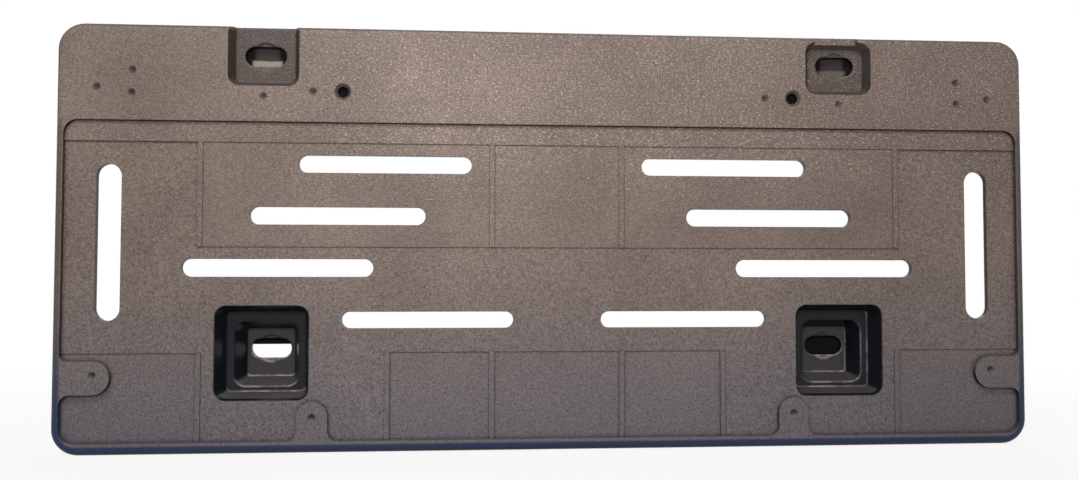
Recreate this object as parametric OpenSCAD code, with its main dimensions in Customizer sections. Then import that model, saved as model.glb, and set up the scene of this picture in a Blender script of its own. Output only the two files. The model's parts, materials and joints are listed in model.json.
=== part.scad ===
// Number plate holder: one moulded plate that screws to a car's front bumper and carries the plate.
// Frame: X to the right, Y away from the viewer, Z up. The origin is midway between the two upper
// fixing slots, on the seats of their screws. The modules below work in the face's own frame, with
// X and Z zero in the middle of the outline and Y zero on the raised face.

/* [Overall] */
// Width of the outline
holder_w = 358.6; // [350:0.2:380]
// Height of the outline
holder_h = 154.2; // [150:0.2:162]
// Radius of the outline's four corners
corner_r = 9.4; // [6:0.2:14]
// Radius that rounds the front edge all the way round
edge_r = 2.4; // [1.2:0.1:3]
// Wall of the skirt behind the front edge
skirt_wall = 2; // [1.6:0.1:2.6]
// Depth of the skirt along its top
skirt_top = 6; // [5:0.5:9]
// Depth of the skirt along its bottom
skirt_bottom = 12; // [9:0.5:16]

/* [Face] */
// Height of the raised band along the top
band_h = 34.9; // [30:0.1:38]
// Width of the raised rim at the sides
side_rim = 3; // [2.6:0.1:6]
// Width of the raised rim along the bottom
bottom_rim = 4.2; // [3:0.1:7]
// Corner radius of the recess inside the rim
recess_r = 5; // [3:0.5:8]
// Depth of the recess just below the band
recess_d = 1; // [0.6:0.1:1.4]
// Drop from each level of the recess to the next
level_step = 0.3; // [0.15:0.05:0.4]
// Height of the plain strip below the band
strip_h = 7.5; // [4:0.1:10]
// Height of the ribbed block below the strip
block_h = 37.8; // [34:0.1:42]
// Height of the plain field below the block
field_h = 38.2; // [34:0.1:42]
// Thickness of the raised band
band_t = 2.6; // [2:0.1:3.2]
// Thickness of the plain field
field_t = 2.2; // [1.8:0.1:3]

/* [Ribs] */
// Width of a rib
rib_w = 1.9; // [1.4:0.1:2.6]
// Distance from the middle to the inner ribs
inner_rib_x = 24; // [18:0.5:30]
// Distance from the middle to the middle ribs
middle_rib_x = 62; // [50:0.5:74]
// Distance from the middle to the outer ribs
outer_rib_x = 129; // [127:0.5:140]
// How far the ribs stop short of the skirt's rear edge
rib_short = 1.5; // [0.5:0.1:2.5]

/* [Long slots] */
// Width of a level slot in the first three rows
slot_w = 6.4; // [5:0.1:8]
// Distance from the band down to the first row of slots
first_row_z = 15.1; // [13:0.1:18]
// Distance from one row to the next
row_pitch = 18.9; // [17:0.1:20]
// First row: distance from the middle to its near end
row1_near = 31.6; // [28:0.1:40]
// First row: length of a slot
row1_l = 62.7; // [50:0.1:80]
// Second row: distance from the middle to its near end
row2_near = 48.4; // [30:0.1:56]
// Second row: length of a slot
row2_l = 63.2; // [50:0.1:72]
// Third row: distance from the middle to its near end
row3_near = 67.2; // [50:0.1:70]
// Third row: length of a slot
row3_l = 68.2; // [50:0.1:80]
// Fourth row: distance from the middle to its near end
row4_near = 16.2; // [8:0.1:18]
// Fourth row: length of a slot
row4_l = 62.3; // [50:0.1:66]
// Fourth row: width of a slot, a little less than that of the others
row4_w = 6; // [5:0.1:8]
// Width of an upright slot
upright_w = 8.8; // [6:0.1:10]
// Length of an upright slot
upright_l = 56.2; // [44:0.1:60]
// Distance from the holder's side edge to an upright slot's centre line
upright_in = 18.4; // [15:0.1:22]
// Distance from the band down to an upright slot's centre
upright_z = 43.8; // [42:0.1:46]

/* [Fixing pockets] */
// Distance from the middle to the pockets' centres
pocket_x = 106.8; // [104:0.1:110]
// Distance between the upper and the lower fixing slots
fixing_drop = 107.5; // [104:0.1:110]
// Distance from the holder's top edge to the upper fixing slots
fixing_z = 10.5; // [9:0.1:12]
// Length of a fixing slot, end to end
fixing_l = 15; // [10:0.1:16]
// Width of a fixing slot
fixing_w = 7.4; // [5:0.1:8]
// Diameter of the round seat that a screw's collar rests in
seat_d = 10; // [8.5:0.1:12]
// Depth of that seat
seat_depth = 0.5; // [0.2:0.1:0.8]
// Thickness of a pocket's walls and floor
pocket_wall = 2.4; // [1.8:0.1:3]
// Width of an upper pocket's mouth
upper_mouth_w = 25.4; // [24:0.1:30]
// Height of an upper pocket's mouth, up to the top wall
upper_mouth_h = 20; // [18:0.1:22]
// How far an upper pocket's walls lean in from the mouth to the floor
upper_lean = 2; // [1:0.1:3]
// Depth of an upper pocket, from the raised face
upper_depth = 3.7; // [3:0.1:6]
// Width of the notch in the wall above the right upper pocket; the left pocket is open at the top
notch_w = 16.4; // [12:0.1:20]
// Depth of that notch, from the raised face
notch_d = 1.4; // [0.6:0.1:2]
// How far the notch lies off its pocket's centre, towards the middle of the holder
notch_in = 0.7; // [0:0.1:2]
// Width of a lower pocket's mouth
lower_mouth_w = 33.6; // [32:0.1:38]
// Height of a lower pocket's mouth
lower_mouth_h = 34.3; // [32:0.1:36]
// How far a lower pocket's mouth lies below its fixing slot
mouth_shift = 0.5; // [0:0.1:2]
// Depth of the straight land round a lower pocket's mouth, from the field
mouth_land = 0.3; // [0.2:0.05:0.6]
// Depth of a lower pocket's ledge, from the raised face
ledge_depth = 9.4; // [7:0.1:11]
// How far the walls above the ledge lean in
mouth_lean = 2.5; // [1:0.1:3.4]
// Width of the ledge at the sides
ledge_x = 2.6; // [1:0.1:4]
// Width of the ledge at the top and bottom
ledge_z = 2.8; // [1.2:0.1:3]
// How far the well behind the ledge sits below the mouth's centre
well_shift = 0.9; // [0:0.1:1.2]
// How far the walls of the well lean in
well_lean = 2.9; // [1:0.1:3.6]
// Depth of a lower pocket's floor, from the raised face
lower_depth = 17; // [14:0.1:20]
// Radius of the pockets' corners at the mouth, and of the wells' corners at the ledge
pocket_r = 4.2; // [3.8:0.1:5]

/* [Plate fixing] */
// Diameter of the tabs' and the band's drill marks
mark_d = 2.8; // [2:0.1:3.4]
// Diameter at the bottom of a drill mark
mark_tip_d = 0.4; // [0.2:0.1:1]
// Depth of a drill mark
mark_depth = 1.1; // [0.6:0.1:1.5]
// Distance from the middle to the left screw hole
left_hole_x = 78.4; // [74:0.1:84]
// Distance from the middle to the right screw hole
right_hole_x = 89.1; // [85:0.1:92]
// Distance from the holder's top edge to the screw holes
hole_z = 23.7; // [23:0.1:28]
// Diameter of the two screw holes
hole_d = 4; // [3:0.1:5]
// Diameter of the worn mouth of a screw hole
hole_mouth_d = 6; // [5.2:0.1:7]
// Radius of the side tabs' round ends
side_tab_r = 5.95; // [4:0.05:7]
// Distance from the holder's side edge to the side tabs' drill marks
side_tab_in = 14.3; // [11:0.1:17]
// Distance from the holder's bottom edge to the side tabs' centre line
side_tab_z = 27.3; // [22:0.1:30]
// How far a side tab's drill mark lies above its centre line
side_mark_up = 1; // [0:0.1:2]
// Radius of the bottom tabs' round ends
bottom_tab_r = 5.6; // [4:0.1:7]
// Distance from the middle to the bottom tabs' drill marks
bottom_tab_x = 88.5; // [84:0.1:94]
// Distance from the holder's bottom edge to the bottom tabs' drill marks
bottom_tab_z = 12.8; // [10:0.1:14]
// Radius where a bottom tab, or a side tab's underside, runs into the rim
root_r = 3.6; // [2:0.1:4]
// Radius where a side tab's upper side runs into the rim
upper_root_r = 2.4; // [1.4:0.1:2.8]

/* [Hidden] */
$fn = 64;
plastic = [0.2, 0.19, 0.18];
// How far a cut runs past the face that it opens
past = 1;
// How far a drawn outline runs into the piece that it joins
lap = 0.5;
// The little by which a cut clears a face that it starts on
hair = 0.01;

// Heights of the face's lines, from the outline's centre
top_z = holder_h / 2;
band_z = top_z - band_h;
strip_z = band_z - strip_h;
block_z = strip_z - block_h;
panel_z = block_z - field_h;
floor_z = -top_z + bottom_rim;
recess_x = holder_w / 2 - side_rim;

// Distances from the middle to what is set out from the side edges
upright_x = holder_w / 2 - upright_in;
side_tab_x = holder_w / 2 - side_tab_in;

// Depths of the recess: strip, block, field and the panels along the bottom
block_d = recess_d + level_step;
field_d = recess_d + 2 * level_step;
panel_d = recess_d + 3 * level_step;
back_y = field_d + field_t;

// Places of the fixing slots and of the pockets' mouths
upper_fixing_z = top_z - fixing_z;
lower_fixing_z = upper_fixing_z - fixing_drop;
upper_mouth_top = top_z - skirt_wall;
upper_mouth_z = upper_mouth_top - upper_mouth_h / 2;
lower_mouth_z = lower_fixing_z - mouth_shift;

// The drill marks of the band: distance from the side edge and from the top edge
outer_marks = [[14.2, 23.1], [26.5, 16.8], [26.3, 24.9]];
// Distance from the top edge to the drill mark below each upper pocket
pocket_mark_z = 25.6;

// The rows of level slots from the top down: distance to the near end, length, width
rows = [
  [row1_near, row1_l, slot_w],
  [row2_near, row2_l, slot_w],
  [row3_near, row3_l, slot_w],
  [row4_near, row4_l, row4_w]
];

// A plate of the drawn outline, from one depth to another
module slab(front, rear) {
  translate([0, rear, 0]) rotate([90, 0, 0]) linear_extrude(rear - front) children();
}

// A right-hand feature and its mirror image on the left
module both_sides() {
  children();
  mirror([1, 0, 0]) children();
}

module rounded_rect(w, h, r) {
  square([w - 2 * r, h], center = true);
  square([w, h - 2 * r], center = true);
  for (x = [-1, 1], z = [-1, 1]) translate([x * (w / 2 - r), z * (h / 2 - r)]) circle(r);
}

// A slot's outline, lying along X
module slot_outline(l, w) {
  square([l - w, w], center = true);
  for (x = [-1, 1]) translate([x * (l - w) / 2, 0]) circle(w / 2);
}

// The corner between two walls, filled by a concave round
module root_fillet(r) {
  difference() {
    translate([-lap, -lap]) square(r + lap);
    translate([r, r]) circle(r);
  }
}

module quarter_disc(r) {
  intersection() {
    circle(r);
    square(r);
  }
}

// A section swept round a rounded rectangle. The section's X runs outwards from the centres of the
// corners, and its Y rearwards.
module swept_round(w, h, r) {
  rotate([90, 0, 0]) for (half = [0, 180]) rotate(half) {
    translate([w / 2 - r, h / 2 - r, 0]) {
      rotate_extrude(angle = 90) mirror([0, 1]) children();
      rotate([90, 0, 0]) linear_extrude(h - 2 * r) mirror([0, 1]) children();
    }
    translate([r - w / 2, h / 2 - r, 0]) {
      rotate(90) rotate_extrude(angle = 90) mirror([0, 1]) children();
      rotate([90, 0, 90]) linear_extrude(w - 2 * r) mirror([0, 1]) children();
    }
  }
}

// A rounded block between two depths whose sides all lean in alike towards the rear. It can start
// ahead of its front, on the same slope.
module drafted_block(front, rear, w, h, r, lean, ahead = 0) {
  start_r = r + lean * ahead / (rear - front);
  slab(front - ahead, rear) square([w - 2 * r, h - 2 * r], center = true);
  swept_round(w, h, r)
    polygon([[0, front - ahead], [start_r, front - ahead], [r - lean, rear], [0, rear]]);
}

// Everything behind the slanting rear edge, moved forward by a distance
module behind(forward) {
  lean = atan2(skirt_bottom - skirt_top, holder_h);
  translate([0, (skirt_top + skirt_bottom) / 2 - forward, 0]) rotate([lean, 0, 0])
    translate([-holder_w, 0, -holder_h]) cube([2 * holder_w, 4 * skirt_bottom, 2 * holder_h]);
}

// The face and the skirt round it
module shell() {
  slab(0, edge_r) rounded_rect(holder_w - 2 * edge_r, holder_h - 2 * edge_r, corner_r - edge_r);
  swept_round(holder_w, holder_h, corner_r)
    translate([corner_r - edge_r, edge_r]) mirror([0, 1]) quarter_disc(edge_r);
  difference() {
    slab(edge_r, 2 * skirt_bottom) rounded_rect(holder_w, holder_h, corner_r);
    slab(back_y, 2 * skirt_bottom + past)
      rounded_rect(holder_w - 2 * skirt_wall, holder_h - 2 * skirt_wall, corner_r - skirt_wall);
    slab(band_t, back_y + past) translate([0, (top_z - skirt_wall + band_z + band_t) / 2])
      rounded_rect(holder_w - 2 * skirt_wall, top_z - skirt_wall - band_z - band_t, corner_r - skirt_wall);
    behind(0);
  }
}

// A stretch of the recess between two heights, out to the rim
module recess_part(low, high) {
  intersection() {
    translate([0, (band_z + floor_z) / 2]) rounded_rect(2 * recess_x, band_z - floor_z, recess_r);
    translate([-holder_w / 2, low]) square([holder_w, high - low]);
  }
}

// The recess, which steps down from level to level
module recess_cuts() {
  slab(-past, recess_d) recess_part(floor_z, band_z);
  slab(-past, block_d) recess_part(floor_z, strip_z);
  slab(-past, field_d) difference() {
    recess_part(floor_z, strip_z);
    translate([-outer_rib_x - rib_w / 2, block_z]) square([2 * outer_rib_x + rib_w, block_h + past]);
  }
  slab(-past, panel_d) {
    translate([-middle_rib_x, floor_z]) square([2 * middle_rib_x, panel_z - floor_z]);
    for (x = [0, 1]) mirror([x, 0]) intersection() {
      recess_part(floor_z, panel_z);
      translate([outer_rib_x, floor_z]) square([recess_x - outer_rib_x, holder_h]);
    }
  }
}

// One rib from its front level to the rear edge
module rib(x, front, low, high) {
  difference() {
    translate([x - rib_w / 2, front, low]) cube([rib_w, 2 * skirt_bottom, high - low]);
    behind(rib_short);
  }
}

module ribs() {
  both_sides() {
    for (x = [inner_rib_x, outer_rib_x]) rib(x, recess_d, block_z, strip_z + past);
    for (x = [inner_rib_x, middle_rib_x, outer_rib_x]) rib(x, block_d, floor_z - past, panel_z);
  }
}

// A tab at the side, which stands level with the rim
module side_tab() {
  z = side_tab_z - top_z;
  translate([side_tab_x, z]) {
    circle(side_tab_r);
    translate([0, -side_tab_r]) square([recess_x - side_tab_x + lap, 2 * side_tab_r]);
  }
  translate([recess_x, z - side_tab_r]) rotate(180) root_fillet(root_r);
  translate([recess_x, z + side_tab_r]) rotate(90) root_fillet(upper_root_r);
}

// A tab at the bottom
module bottom_tab() {
  z = bottom_tab_z - top_z;
  translate([bottom_tab_x, 0]) {
    translate([0, z]) circle(bottom_tab_r);
    translate([-bottom_tab_r, floor_z - lap]) square([2 * bottom_tab_r, z - floor_z + lap]);
    for (x = [0, 1]) mirror([x, 0]) translate([bottom_tab_r, floor_z]) root_fillet(root_r);
  }
}

module tabs() {
  both_sides() slab(0, back_y) {
    side_tab();
    bottom_tab();
  }
}

// The upper pocket's hollow, or its outside when grown by the wall. It can be made taller at the top.
module upper_pocket(grow = 0, ahead = 0, taller = 0) {
  translate([0, 0, upper_mouth_z + taller / 2])
    drafted_block(0, upper_depth + grow, upper_mouth_w + 2 * grow, upper_mouth_h + taller + 2 * grow,
      pocket_r + grow, upper_lean, ahead);
}

// The lower pocket's hollow, or its outside when grown by the wall
module lower_pocket(grow = 0) {
  inset = [mouth_lean + ledge_x, mouth_lean + ledge_z];
  translate([0, 0, lower_mouth_z]) {
    drafted_block(field_d, ledge_depth + grow, lower_mouth_w + 2 * grow, lower_mouth_h + 2 * grow,
      pocket_r + grow, mouth_lean);
    translate([0, 0, -well_shift])
      drafted_block(ledge_depth, lower_depth + grow, lower_mouth_w + 2 * grow - 2 * inset.x,
        lower_mouth_h + 2 * grow - 2 * inset.y, pocket_r + grow, well_lean);
  }
}

module pocket_shells() {
  both_sides() translate([pocket_x, 0, 0]) {
    difference() {
      upper_pocket(pocket_wall);
      translate([-holder_w, -past, -holder_h]) cube([2 * holder_w, band_t / 2 + past, 2 * holder_h]);
      translate([-holder_w, -past, top_z - skirt_wall / 2]) cube([2 * holder_w, holder_w, holder_h]);
    }
    difference() {
      lower_pocket(pocket_wall);
      translate([-holder_w, -past, -holder_h]) cube([2 * holder_w, panel_d + past, 2 * holder_h]);
    }
  }
}

// A screw's slot with its round seat, on a pocket's floor
module fixing_slot(depth) {
  slab(depth - past, depth + pocket_wall + past) slot_outline(fixing_l, fixing_w);
  slab(depth - past, depth + seat_depth) circle(seat_d / 2);
}

module pocket_cuts() {
  translate([-pocket_x, 0, 0]) upper_pocket(ahead = past, taller = upper_mouth_h);
  translate([pocket_x, 0, 0]) {
    upper_pocket(ahead = past);
    translate([-notch_in - notch_w / 2, -past, upper_mouth_z]) cube([notch_w, past + notch_d, holder_h]);
  }
  both_sides() translate([pocket_x, 0, 0]) {
    lower_pocket();
    translate([0, 0, lower_mouth_z]) slab(-past, field_d + mouth_land)
      rounded_rect(lower_mouth_w, lower_mouth_h, pocket_r);
    translate([0, 0, upper_fixing_z]) fixing_slot(upper_depth);
    translate([0, 0, lower_fixing_z]) fixing_slot(lower_depth);
  }
}

module long_slots() {
  both_sides() slab(-past, back_y + past) {
    for (i = [0:len(rows) - 1])
      translate([rows[i][0] + rows[i][1] / 2, band_z - first_row_z - i * row_pitch])
        slot_outline(rows[i][1], rows[i][2]);
    translate([upright_x, band_z - upright_z]) rotate(90) slot_outline(upright_l, upright_w);
  }
}

// A conical drill mark in the raised face
module mark(x, z) {
  translate([x, -hair, z]) rotate([-90, 0, 0]) cylinder(mark_depth, mark_d / 2, mark_tip_d / 2);
}

module marks() {
  both_sides() {
    for (m = outer_marks) mark(holder_w / 2 - m[0], top_z - m[1]);
    mark(pocket_x, top_z - pocket_mark_z);
    mark(side_tab_x, side_tab_z + side_mark_up - top_z);
    mark(bottom_tab_x, bottom_tab_z - top_z);
  }
  mark(left_hole_x, top_z - hole_z);
  mark(-right_hole_x, top_z - hole_z);
}

// A screw hole through the raised band, with its worn mouth
module screw_hole(x) {
  translate([x, 0, top_z - hole_z]) rotate([-90, 0, 0]) {
    translate([0, 0, -past]) cylinder(band_t + 2 * past, hole_d / 2, hole_d / 2);
    translate([0, 0, -hair]) cylinder((hole_mouth_d - hole_d) / 2, hole_mouth_d / 2, hole_d / 2);
  }
}

module plate_holder() {
  color(plastic) translate([0, -upper_depth - seat_depth, -upper_fixing_z]) difference() {
    union() {
      difference() {
        shell();
        recess_cuts();
      }
      tabs();
      ribs();
      pocket_shells();
    }
    pocket_cuts();
    long_slots();
    marks();
    screw_hole(-left_hole_x);
    screw_hole(right_hole_x);
  }
}

plate_holder();
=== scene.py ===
"""Looks of the number plate holder: black grained plastic, worn grey in front, with painted light and
shade, on a plain white floor.
"""

import json

import bpy
from mathutils import Matrix, Vector

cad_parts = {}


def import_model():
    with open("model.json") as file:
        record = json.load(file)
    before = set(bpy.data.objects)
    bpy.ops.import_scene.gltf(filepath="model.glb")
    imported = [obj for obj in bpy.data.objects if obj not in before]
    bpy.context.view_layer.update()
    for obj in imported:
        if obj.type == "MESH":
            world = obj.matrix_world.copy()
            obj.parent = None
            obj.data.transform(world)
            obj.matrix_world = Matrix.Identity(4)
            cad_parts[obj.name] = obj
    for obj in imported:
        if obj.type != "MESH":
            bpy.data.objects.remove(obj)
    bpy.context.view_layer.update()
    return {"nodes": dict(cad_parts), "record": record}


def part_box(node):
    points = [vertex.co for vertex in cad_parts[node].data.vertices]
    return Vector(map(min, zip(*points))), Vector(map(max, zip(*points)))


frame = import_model()
scene = bpy.context.scene

# Lengths are in metres, and a length written in millimetres is multiplied by MM
MM = 0.001


def mm(*values):
    return tuple(value * MM for value in values)


# The raised face lies at y = FACE_Y, and the raised band ends at BAND_Z
lowest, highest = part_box("plate_holder")
FACE_Y = lowest[1]
BOTTOM_Z = lowest[2]
SIDE_X = highest[0]
TOP_Z = highest[2]
BAND_HEIGHT = 34.9 * MM
BAND_Z = TOP_Z - BAND_HEIGHT
# What differs in the band changes over this height above its lower edge
BAND_BLUR = 1 * MM
AT_BAND = (BAND_Z, BAND_Z + BAND_BLUR)


def hole_pair(name):
    """X of a mount's left and right hole, and the height of both."""
    mount = next(mount for mount in frame["record"]["mounts"] if mount["name"] == name)
    middle, _, height = mount["pos_m"]
    half = mount["dims"]["spacing_x_mm"] * MM / 2
    return middle - half, middle + half, height


LEFT_HOLE_X, RIGHT_HOLE_X, HOLE_Z = hole_pair("plate_screw_holes")
LEFT_SLOT_X, RIGHT_SLOT_X, UPPER_SLOT_Z = hole_pair("upper_fixing_slots")
LOWER_SLOT_Z = hole_pair("lower_fixing_slots")[2]


class Tree:
    """Adds nodes to a material's or the world's tree."""

    def __init__(self, owner):
        owner.use_nodes = True
        self.tree = owner.node_tree
        self.tree.nodes.clear()

    def add(self, kind, inputs=None, **settings):
        node = self.tree.nodes.new(kind)
        for name, value in settings.items():
            setattr(node, name, value)
        for name, value in (inputs or {}).items():
            self.feed(node.inputs[name], value)
        return node

    def feed(self, socket, value):
        if isinstance(value, bpy.types.NodeSocket):
            self.tree.links.new(value, socket)
        else:
            socket.default_value = value

    def math(self, operation, a, b=0.0, c=0.0):
        return self.add("ShaderNodeMath", {0: a, 1: b, 2: c}, operation=operation).outputs[0]

    def times(self, product, *factors):
        for factor in factors:
            product = self.math("MULTIPLY", product, factor)
        return product

    def length(self, a, b):
        """Length of the diagonal over a and b."""
        squares = self.math("ADD", self.times(a, a), self.times(b, b))
        return self.math("SQRT", squares)

    def vector_math(self, operation, a, b=(0, 0, 0)):
        return self.add("ShaderNodeVectorMath", {0: a, 1: b}, operation=operation).outputs

    def axes(self, vector):
        return self.add("ShaderNodeSeparateXYZ", {0: vector}).outputs

    def step(self, value, low, high, to_low=0.0, to_high=1.0):
        """A smooth step from to_low to to_high as value goes from low to high."""
        node = self.add(
            "ShaderNodeMapRange",
            {"Value": value, "From Min": low, "From Max": high, "To Min": to_low, "To Max": to_high},
            interpolation_type="SMOOTHSTEP",
        )
        return node.outputs["Result"]

    def mix(self, factor, a, b):
        node = self.add("ShaderNodeMix", data_type="RGBA", clamp_factor=True)
        for socket, value in ((node.inputs[0], factor), (node.inputs[6], a), (node.inputs[7], b)):
            self.feed(socket, value)
        return node.outputs[2]

    def shade(self, color, value):
        """A colour times a number."""
        grey = self.add("ShaderNodeCombineColor", {0: value, 1: value, 2: value}).outputs[0]
        inputs = {0: 1.0, 6: color, 7: grey}
        return self.add("ShaderNodeMix", inputs, data_type="RGBA", blend_type="MULTIPLY").outputs[2]

    def noise(self, place, scale, detail=2.0, roughness=0.5):
        node = self.add(
            "ShaderNodeTexNoise",
            {"Vector": place, "Scale": scale, "Detail": detail, "Roughness": roughness},
        )
        return node.outputs["Fac"]


# A named range below gives where a step starts and ends, and then what it gives at both ends where
# that isn't 0 and 1

# Noises of the plastic: scale, detail, and roughness where it isn't the usual 0.5
CLOUDS = (22.0, 3.0, 0.55)
FINE_GRAIN = (2100.0, 2.0, 0.7)
COARSE_GRAIN = (900.0, 2.0, 0.6)
GLINT_TIPS = (1650.0, 2.0, 0.6)
BLACK_PATCHES = (90.0, 2.0)
GLOSS_PATCHES = (60.0, 3.0)
HIGHLIGHT_PATCHES = (260.0, 2.0)
CLOUD_LEVELS = (0.32, 0.68)
# The grain is drawn out along X, and its pebbles are this fine
GRAIN_STRETCH = (0.6, 1.0, 1.25)
PEBBLE_SCALE = 1300.0


class Plastic(Tree):
    """The plastic's tree, with the places and directions that its layers share."""

    def __init__(self, owner):
        super().__init__(owner)
        coords = self.add("ShaderNodeTexCoord").outputs
        self.place = coords["Object"]
        self.x, y, self.z = self.axes(self.place)
        self.off_middle = self.math("ABSOLUTE", self.x)
        self.depth = self.math("SUBTRACT", y, FACE_Y)
        _, normal_y, self.to_top = self.axes(coords["Normal"])
        self.to_front = self.math("MULTIPLY", normal_y, -1.0)
        self.cloud = self.step(self.noise(self.place, *CLOUDS), *CLOUD_LEVELS)
        self.fine = self.noise(self.place, *FINE_GRAIN)
        self.stretched = self.vector_math("MULTIPLY", self.place, GRAIN_STRETCH)[0]

    def cloudy(self, value, least):
        """The value, down to least times itself where the clouds are dark."""
        return self.times(value, self.step(self.cloud, 0.0, 1.0, least, 1.0))


# Wear reaches this deep below the band and in it, on what faces forward by this much
WEAR_DEPTHS = mm(2.1, 4.6)
WEAR_FORWARD = (0.50, 0.97)
# The walls of the steps are worn too, down to this depth, and greyer where they face up as painted light
STEP_DEPTH = mm(2.6, 2.2)
STEP_WEAR_AND_LIGHT = (-0.7, 0.9, 0.0, 0.85)
# The top edge is worn this far down, and less towards the back
TOP_EDGE = 1.2 * MM
TOP_WEAR = (0.0, 6 * MM, 0.5, 0.1)


def wear(t):
    """How far handling has greyed the front, with painted light on the steps' walls that face up. Deep
    walls, wells and the back stay black.
    """
    limit = t.step(t.z, BAND_Z - BAND_BLUR, BAND_Z + BAND_BLUR, *WEAR_DEPTHS)
    near = t.math("LESS_THAN", t.depth, limit)
    forward = t.step(t.to_front, *WEAR_FORWARD)
    below_band = t.math("LESS_THAN", t.z, BAND_Z + BAND_BLUR)
    steps = t.times(t.step(t.depth, *STEP_DEPTH), t.step(t.to_top, *STEP_WEAR_AND_LIGHT), below_band)
    front = t.times(near, t.math("MAXIMUM", forward, steps))
    top_edge = t.math("GREATER_THAN", t.z, TOP_Z - TOP_EDGE)
    return t.math("MAXIMUM", front, t.times(top_edge, t.step(t.depth, *TOP_WEAR)))


# Grey of the wear, in clouds between two greys
DEEP_GREY = (0.196, 0.153, 0.132, 1)
PALE_GREY = (0.238, 0.187, 0.162, 1)
# It is darker on the upper pockets' floors, and a little less so in the right one
SUNK_GREY = (0.060, 0.050, 0.050, 1)
SUNK_DEPTH = mm(2.4, 3.2)
SUNK_SHARE = (-0.05, 0.05, 0.74, 0.54)
# Painted light makes it cooler towards the bottom, and painted shade darker towards both ends
COOL_GREY = (0.157, 0.142, 0.159, 1)
COOL_HEIGHT = (-0.060, -0.150)
END_SHADE = (0.050, 0.150, 1.0, 0.91)
# It has a painted sheen on the band left of the middle, in a patch that is longer than high
SHEEN_X = -0.045
SHEEN_Z = -0.004
SHEEN_STRETCH = 0.8
SHEEN_REACH = (0.042, 0.004)
SHEEN_GAIN = 0.22
SHEEN_CLOUD = 0.7
# Specks of the grain, and painted glints on its tips, thickest along the band right of its left quarter
FINE_SPECKS = (0.32, 0.68, -0.36, 0.36)
COARSE_SPECKS = (0.35, 0.65, 0.90, 1.10)
GLINT_LEVELS = (0.57, 0.68)
GLINTS_ALONG = (-0.150, -0.050, 0.25, 1.0)
GLINTS_UP = (-0.080, -0.010, 0.15, 1.0)
GLINT_GAIN = 1.5


# Worn grey, with painted light and shade: cooler low down, darker ends, a sheen and glints
def worn_grey_and_painted_light(t):
    grey = t.mix(t.cloud, DEEP_GREY, PALE_GREY)
    sunk = t.times(t.step(t.depth, *SUNK_DEPTH), t.step(t.x, *SUNK_SHARE))
    grey = t.mix(sunk, grey, SUNK_GREY)
    # Painted light: cooler towards the bottom
    grey = t.mix(t.step(t.z, *COOL_HEIGHT), grey, COOL_GREY)

    aside = t.times(t.math("SUBTRACT", t.x, SHEEN_X), SHEEN_STRETCH)
    away = t.length(aside, t.math("SUBTRACT", t.z, SHEEN_Z))
    sheen = t.cloudy(t.step(away, *SHEEN_REACH), SHEEN_CLOUD)
    painted_light = t.times(t.step(t.off_middle, *END_SHADE), t.math("MULTIPLY_ADD", sheen, SHEEN_GAIN, 1.0))

    coarse = t.noise(t.place, *COARSE_GRAIN)
    specks = t.math("ADD", t.step(t.fine, *FINE_SPECKS), t.step(coarse, *COARSE_SPECKS))
    # Painted glints on the tips of the grain
    glints = t.step(t.noise(t.stretched, *GLINT_TIPS), *GLINT_LEVELS)
    share = t.times(t.step(t.x, *GLINTS_ALONG), t.step(t.z, *GLINTS_UP))
    specks = t.math("MULTIPLY_ADD", t.times(glints, share), GLINT_GAIN, specks)
    return t.shade(grey, t.times(specks, painted_light))


DEEP_BLACK = (0.007, 0.009, 0.013, 1)
PALE_BLACK = (0.013, 0.015, 0.020, 1)
# The upper pockets' walls are brown, with painted light that makes them paler where they face down or up
BROWN = (0.046, 0.036, 0.032, 1)
PAINTED_LIT_BROWN_DOWN = (0.088, 0.072, 0.066, 1)
PAINTED_LIT_BROWN_UP = (0.070, 0.057, 0.052, 1)
FACING_DOWN = (-0.3, -0.8)
FACING_UP = (0.3, 0.8)
POCKET_HALF = 13 * MM
POCKET_DEPTH = mm(4.4, 4.0)
# The back is matt charcoal, as it came from the mould
CHARCOAL = (0.034, 0.033, 0.035, 1)
FACING_BACK = (-0.2, -0.8)
CHARCOAL_CLOUD = 0.85
# The wells' walls that face up, from this depth on, get dust and painted light, and their floors get dust
DUST_AND_PAINTED_LIGHT = (0.094, 0.084, 0.092, 1)
LIGHT_AND_DUST_FACING_UP = (0.35, 0.80)
LIGHT_AND_DUST_DEPTH = mm(3.4, 4.2)
DUST_FACING_FRONT = (0.80, 0.99)
FLOOR_DUST = (11 * MM, 13 * MM, 0.12, 0.85)
DUST_AND_LIGHT_CLOUD = 0.7


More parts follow.
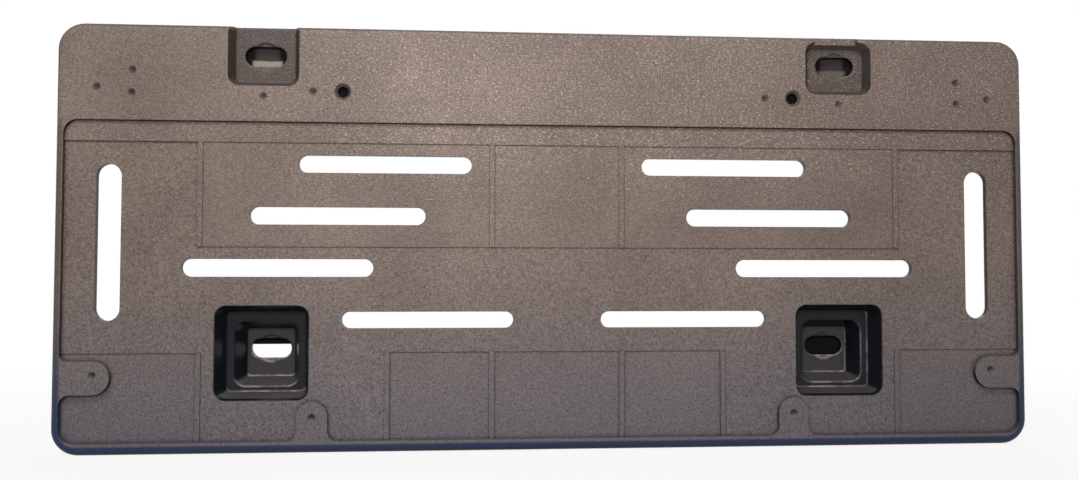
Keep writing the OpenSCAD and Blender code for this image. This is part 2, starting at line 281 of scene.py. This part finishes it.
def unworn_black(t):
    black = t.mix(t.noise(t.place, *BLACK_PATCHES), DEEP_BLACK, PALE_BLACK)

    off_pocket = t.math("ABSOLUTE", t.math("SUBTRACT", t.off_middle, RIGHT_SLOT_X))
    in_pocket = t.times(
        t.step(t.z, *AT_BAND),
        t.math("LESS_THAN", off_pocket, POCKET_HALF),
        t.step(t.depth, *POCKET_DEPTH),
    )
    # Painted light: paler brown where the walls face down or up
    brown = t.mix(t.step(t.to_top, *FACING_DOWN), BROWN, PAINTED_LIT_BROWN_DOWN)
    brown = t.mix(t.step(t.to_top, *FACING_UP), brown, PAINTED_LIT_BROWN_UP)
    black = t.mix(in_pocket, black, brown)

    rear = t.cloudy(t.step(t.to_front, *FACING_BACK), CHARCOAL_CLOUD)
    black = t.mix(rear, black, CHARCOAL)

    # Dust, and painted light on the walls that face up
    walls = t.times(t.step(t.to_top, *LIGHT_AND_DUST_FACING_UP), t.step(t.depth, *LIGHT_AND_DUST_DEPTH))
    floors = t.times(t.step(t.to_front, *DUST_FACING_FRONT), t.step(t.depth, *FLOOR_DUST))
    dust_and_light = t.cloudy(t.math("MAXIMUM", walls, floors), DUST_AND_LIGHT_CLOUD)
    return t.mix(dust_and_light, black, DUST_AND_PAINTED_LIGHT)


# Near the outline's corner radius, for the distance inwards from the outline
CORNER = 9 * MM
# The rounded edge has painted shade along the sides below the band
PAINTED_SIDE_SHADE = (0.060, 0.055, 0.055, 1)
SIDE_SHARE = 0.60
SIDE_INSET = mm(3.6, 2.0)
SIDE_HEIGHT = (BAND_Z + 2 * MM, BAND_Z - 4 * MM)
# It has a painted navy reflection where it faces down, and along the lower ends of the sides
NAVY_REFLECTION = (0.032, 0.044, 0.092, 1)
NAVY_INSET = mm(3.6, 2.6)
NAVY_HEIGHT = (-0.088, BOTTOM_Z + 8 * MM)
NAVY_DEPTH = mm(9, 6)


def painted_edge_shade_and_reflection(t, color):
    across = t.math("MAXIMUM", t.math("SUBTRACT", t.off_middle, SIDE_X - CORNER), 0.0)
    down = t.math("MAXIMUM", t.math("SUBTRACT", BOTTOM_Z + CORNER, t.z), 0.0)
    inset = t.math("SUBTRACT", CORNER, t.length(across, down))
    # Painted shade along the sides below the band
    side = t.times(t.step(inset, *SIDE_INSET), t.step(t.z, *SIDE_HEIGHT), SIDE_SHARE)
    color = t.mix(side, color, PAINTED_SIDE_SHADE)
    # Painted navy reflection along the lower rim
    rim = t.times(t.step(inset, *NAVY_INSET), t.step(t.z, *NAVY_HEIGHT), t.step(t.depth, *NAVY_DEPTH))
    return t.mix(rim, color, NAVY_REFLECTION)


# Samples of the nodes that look for corners and edges
CORNER_SAMPLES = 5
# Painted shade darkens the corners of the steps, and most of all under the band
CORNER_SHADE_REACH = 1.7 * MM
CORNER_SHADE_LEVELS = (0.45, 0.88, 0.42, 1.0)
UNDER_BAND_LOW = (BAND_Z - 8 * MM, BAND_Z - 5 * MM)
UNDER_BAND_HIGH = (BAND_Z + 3 * MM, BAND_Z + 1 * MM)
UNDER_BAND_SHADE = 2.6


def painted_corner_shade(t, color):
    corner = t.add("ShaderNodeAmbientOcclusion", {"Distance": CORNER_SHADE_REACH}, samples=CORNER_SAMPLES)
    corner_shade = t.step(corner.outputs["AO"], *CORNER_SHADE_LEVELS)
    under_band = t.times(t.step(t.z, *UNDER_BAND_LOW), t.step(t.z, *UNDER_BAND_HIGH))
    corner_shade = t.math("POWER", corner_shade, t.math("MULTIPLY_ADD", under_band, UNDER_BAND_SHADE, 1.0))
    return t.shade(color, corner_shade)


# The edges of the wells get a painted highlight where they face up, and the right well's where they face
# inwards
EDGE_HIGHLIGHT = (0.62, 0.54, 0.53, 1)
HIGHLIGHT_TURN = (0.97, 0.86)
HIGHLIGHT_FACING_UP = (0.10, 0.45)
HIGHLIGHT_FACING_LEFT = (-0.15, -0.5, 0.0, 0.6)
HIGHLIGHT_DEPTH = mm(2.4, 3.4)
HIGHLIGHT_IN_BAND = (1.0, 0.2)
HIGHLIGHT_BROKEN = (0.40, 0.60, 0.35, 1.0)


def painted_edge_highlights(t, color, soft):
    """Painted highlights on edges, found where the softened normal leaves the true one."""
    true = t.add("ShaderNodeNewGeometry").outputs["Normal"]
    turned = t.vector_math("DOT_PRODUCT", soft, true)["Value"]
    soft_x, _, soft_z = t.axes(soft)
    inwards = t.times(t.step(soft_x, *HIGHLIGHT_FACING_LEFT), t.math("GREATER_THAN", t.x, 0.0))
    highlight_mask = t.times(
        t.step(turned, *HIGHLIGHT_TURN),
        t.math("MAXIMUM", t.step(soft_z, *HIGHLIGHT_FACING_UP), inwards),
        t.step(t.depth, *HIGHLIGHT_DEPTH),
        t.step(t.z, *AT_BAND, *HIGHLIGHT_IN_BAND),
        t.step(t.noise(t.place, *HIGHLIGHT_PATCHES), *HIGHLIGHT_BROKEN),
    )
    return t.mix(highlight_mask, color, EDGE_HIGHLIGHT)


# Edges are softened by this radius, more from the steps down to the wells
SOFT_RADIUS = mm(1.7, 3.0, 0.5, 1.3)
# Relief of the grain, strong where the plastic is worn
RELIEF_HEIGHT = 0.10 * MM
FINE_RELIEF = 0.8
WORN_RELIEF = 0.85
SMOOTH_RELIEF = 0.06
# Roughness of what is worn, and of the rest: walls, the back and the pockets in the band
WORN_ROUGHNESS = (0.3, 0.7, 0.38, 0.48)
BACK_ROUGHNESS = (-0.8, -0.2, 0.48, 0.26)
BAND_ROUGHNESS = (0.26, 0.60)
SPECULAR_LEVEL = 0.14


def grain_relief(t, worn, soft):
    pebbles = t.add(
        "ShaderNodeTexVoronoi", {"Vector": t.stretched, "Scale": PEBBLE_SCALE}, feature="SMOOTH_F1"
    ).outputs["Distance"]
    height = t.math("ADD", pebbles, t.times(t.fine, FINE_RELIEF))
    strength = t.math("MULTIPLY_ADD", worn, WORN_RELIEF, SMOOTH_RELIEF)
    inputs = {"Strength": strength, "Distance": RELIEF_HEIGHT, "Height": height, "Normal": soft}
    return t.add("ShaderNodeBump", inputs).outputs[0]


def roughness(t, worn):
    patches = t.step(t.noise(t.place, *GLOSS_PATCHES), *WORN_ROUGHNESS)
    in_band = t.step(t.z, *AT_BAND, *BAND_ROUGHNESS)
    smooth = t.math("MAXIMUM", t.step(t.to_front, *BACK_ROUGHNESS), in_band)
    return t.add("ShaderNodeMix", {0: worn, 2: smooth, 3: patches}, data_type="FLOAT").outputs[0]


def plastic():
    """Moulded plastic: grained and worn grey in front, smooth and black in the wells, matt behind, with
    painted light and shade.
    """
    material = bpy.data.materials.new("grained_black_plastic")
    t = Plastic(material)
    soft = t.add(
        "ShaderNodeBevel", {"Radius": t.step(t.depth, *SOFT_RADIUS)}, samples=CORNER_SAMPLES
    ).outputs[0]
    # The wear mask also holds painted light on the steps' walls that face up
    worn = wear(t)
    color = t.mix(worn, unworn_black(t), worn_grey_and_painted_light(t))
    # Painted shade along the sides and a painted navy reflection along the lower rim
    color = painted_edge_shade_and_reflection(t, color)
    # Painted shade in the corners of the steps and under the band
    color = painted_corner_shade(t, color)
    # Painted highlights on the wells' edges
    color = painted_edge_highlights(t, color, soft)
    shader = t.add(
        "ShaderNodeBsdfPrincipled",
        {
            "Base Color": color,
            "Roughness": roughness(t, worn),
            "Normal": grain_relief(t, worn, soft),
            "Specular IOR Level": SPECULAR_LEVEL,
        },
    )
    t.add("ShaderNodeOutputMaterial", {"Surface": shader.outputs[0]})
    return material


# Camera, at the photograph's angle
CAMERA_PLACE = mm(-28.858, -319.205, -77.644)
CAMERA_RIGHT = (0.99757, -0.06973, 0.00118)
CAMERA_FORWARD = (0.06965, 0.99699, 0.03393)
SENSOR_WIDTH = 36.0
LENS = 28.72
NEAREST_SEEN = 0.01
FARTHEST_SEEN = 20.0


def camera():
    data = bpy.data.cameras.new("camera")
    data.sensor_fit = "HORIZONTAL"
    data.sensor_width = SENSOR_WIDTH
    data.lens = LENS
    data.clip_start = NEAREST_SEEN
    data.clip_end = FARTHEST_SEEN
    forward = Vector(CAMERA_FORWARD).normalized()
    up = Vector(CAMERA_RIGHT).cross(forward).normalized()
    right = forward.cross(up).normalized()
    turn = Matrix((right, up, -forward)).transposed().to_4x4()
    ob = bpy.data.objects.new("camera", data)
    ob.matrix_world = Matrix.Translation(Vector(CAMERA_PLACE)) @ turn
    scene.collection.objects.link(ob)
    scene.camera = ob


def seen_rays(t):
    """1 for the rays that show the background: those of the camera, of gloss and of glass."""
    path = t.add("ShaderNodeLightPath").outputs
    seen = t.math("MAXIMUM", path["Is Camera Ray"], path["Is Glossy Ray"])
    return t.math("MAXIMUM", seen, path["Is Transmission Ray"])


def staged(name, corners, material):
    """A flat four-cornered piece of the floor or the backdrop."""
    mesh = bpy.data.meshes.new(name)
    mesh.from_pydata(corners, [], [(0, 1, 2, 3)])
    mesh.materials.append(material)
    ob = bpy.data.objects.new(name, mesh)
    scene.collection.objects.link(ob)
    return ob


# Order of a flat piece's corners, as signs from its middle
CORNER_SIGNS = ((-1, -1), (1, -1), (1, 1), (-1, 1))

# Floor, a little below the holder. It is white to the eye, but for the object's shadow close to it.
FLOOR_HALF = 2.5
FLOOR_GAP = 0.2 * MM
FLOOR_GREY = (0.70, 0.70, 0.70, 1)
WHITE = (1, 1, 1, 1)
WHITE_SHARE = (0.12, 0.45, 0.88, 1.0)


def floor():
    material = bpy.data.materials.new("white_floor")
    t = Tree(material)
    diffuse = t.add("ShaderNodeBsdfDiffuse", {"Color": FLOOR_GREY}).outputs[0]
    white = t.add("ShaderNodeEmission", {"Color": WHITE, "Strength": 1.0}).outputs[0]
    far = t.vector_math("LENGTH", t.add("ShaderNodeTexCoord").outputs["Object"])["Value"]
    share = t.times(seen_rays(t), t.step(far, *WHITE_SHARE))
    both = t.add("ShaderNodeMixShader", {0: share, 1: diffuse, 2: white}).outputs[0]
    t.add("ShaderNodeOutputMaterial", {"Surface": both})
    corners = [(i * FLOOR_HALF, j * FLOOR_HALF, 0) for i, j in CORNER_SIGNS]
    staged("floor", corners, material).location.z = BOTTOM_Z - FLOOR_GAP


# The cards are dark sheets of painted shade
# Cards behind the openings that the photograph shows shaded: width, height and depth behind the face
HOLE_CARD = mm(6.4, 6.4, 2.7)
UPPER_CARD = mm(17.0, 9.4, 6.2)
LOWER_CARD = mm(17.0, 9.4, 19.5)
# The lower left slot is shaded along its top alone
TOP_CARD = mm(17.0, 3.4, 19.5)
TOP_CARD_Z = LOWER_SLOT_Z + 3 * MM
SHADED = {
    "left_screw_hole": (LEFT_HOLE_X, HOLE_Z, HOLE_CARD),
    "right_screw_hole": (RIGHT_HOLE_X, HOLE_Z, HOLE_CARD),
    "upper_left_slot": (LEFT_SLOT_X, UPPER_SLOT_Z, UPPER_CARD),
    "upper_right_slot": (RIGHT_SLOT_X, UPPER_SLOT_Z, UPPER_CARD),
    "lower_left_slot": (LEFT_SLOT_X, TOP_CARD_Z, TOP_CARD),
    "lower_right_slot": (RIGHT_SLOT_X, LOWER_SLOT_Z, LOWER_CARD),
}
# The painted shade is nearly black, and in the upper slots a little paler in the middle
DARK_SHADE = (0.016, 0.014, 0.015, 1)
MIDDLE_SHADE = (0.060, 0.049, 0.053, 1)
MIDDLE_REACH = mm(3.4, 5.2)
UPPER_HEIGHT = mm(-11, -9)
# Painted light lies on the lower part of the cards in the upper slots, and less in the right one
PAINTED_LIT = (0.36, 0.31, 0.27, 1)
LIT_HEIGHT = mm(-0.6, -1.6)
LIT_REACH = mm(6, 4.6)
LIT_SHARE = (0.0, 0.001, 1.0, 0.35)
LIT_EDGE_SCALE = 260.0
LIT_EDGE_BLUR = 1.2 * MM


def shaded_backdrop():
    material = bpy.data.materials.new("shaded_backdrop")
    t = Tree(material)
    place = t.add("ShaderNodeTexCoord").outputs["Object"]
    x, _, z = t.axes(place)
    off_slot = t.math("ABSOLUTE", t.math("SUBTRACT", t.math("ABSOLUTE", x), RIGHT_SLOT_X))
    upper = t.step(z, *UPPER_HEIGHT)
    ends = t.step(off_slot, *MIDDLE_REACH)
    dark = t.mix(t.times(t.math("SUBTRACT", 1.0, ends), upper), DARK_SHADE, MIDDLE_SHADE)
    blur = t.math("MULTIPLY_ADD", t.noise(place, LIT_EDGE_SCALE), LIT_EDGE_BLUR, -LIT_EDGE_BLUR / 2)
    lit = t.times(
        t.step(t.math("ADD", z, blur), *LIT_HEIGHT),
        upper,
        t.step(x, *LIT_SHARE),
        t.step(off_slot, *LIT_REACH),
    )
    dull = t.add("ShaderNodeBsdfDiffuse", {"Color": t.mix(lit, dark, PAINTED_LIT)}).outputs[0]
    clear = t.add("ShaderNodeBsdfTransparent").outputs[0]
    behind = t.add("ShaderNodeNewGeometry").outputs["Backfacing"]
    both = t.add("ShaderNodeMixShader", {0: behind, 1: dull, 2: clear}).outputs[0]
    t.add("ShaderNodeOutputMaterial", {"Surface": both})
    return material


def shade_cards():
    """Small cards of the backdrop close behind some openings, seen from the front alone, as painted
    shade.
    """
    material = shaded_backdrop()
    for name, (x, z, (width, height, depth)) in SHADED.items():
        y = FACE_Y + depth
        corners = [(x + i * width / 2, y, z + k * height / 2) for i, k in CORNER_SIGNS]
        staged("shade_" + name, corners, material)


def lamp(name, place, target, size, power, color=(1, 1, 1)):
    data = bpy.data.lights.new(name, "AREA")
    data.shape = "RECTANGLE"
    data.size, data.size_y = size
    data.energy = power
    data.color = color
    ob = bpy.data.objects.new(name, data)
    ob.location = place
    aim = Vector(target) - Vector(place)
    ob.rotation_euler = aim.to_track_quat("-Z", "Y").to_euler()
    scene.collection.objects.link(ob)


# Light of the world on the object
SKY = (0.12, 0.12, 0.13, 1)


def world():
    owner = bpy.data.worlds.new("studio")
    scene.world = owner
    t = Tree(owner)
    color = t.mix(seen_rays(t), SKY, WHITE)
    sky = t.add("ShaderNodeBackground", {"Color": color, "Strength": 1.0}).outputs[0]
    t.add("ShaderNodeOutputWorld", {"Surface": sky})


def lamps():
    """A high lamp shades the steps, a low one in front hazes the upper left, and one lights the back."""
    lamp("key", place=(-0.10, -0.36, 0.44), target=(-0.04, 0.0, -0.04), size=(0.15, 0.15), power=1.66)
    lamp(
        "haze",
        place=(-0.065, -0.42, 0.10),
        target=(-0.045, 0.0, 0.0),
        size=(0.08, 0.10),
        power=0.90,
        color=(1.0, 0.96, 0.90),
    )
    lamp("back", place=(0.25, 0.60, 0.55), target=(0.0, 0.0, -0.06), size=(0.40, 0.40), power=3.6)


material = plastic()
for slot in frame["nodes"]["plate_holder"].material_slots:
    slot.material = material

camera()
floor()
shade_cards()
world()
lamps()

scene.view_settings.view_transform = "Standard"
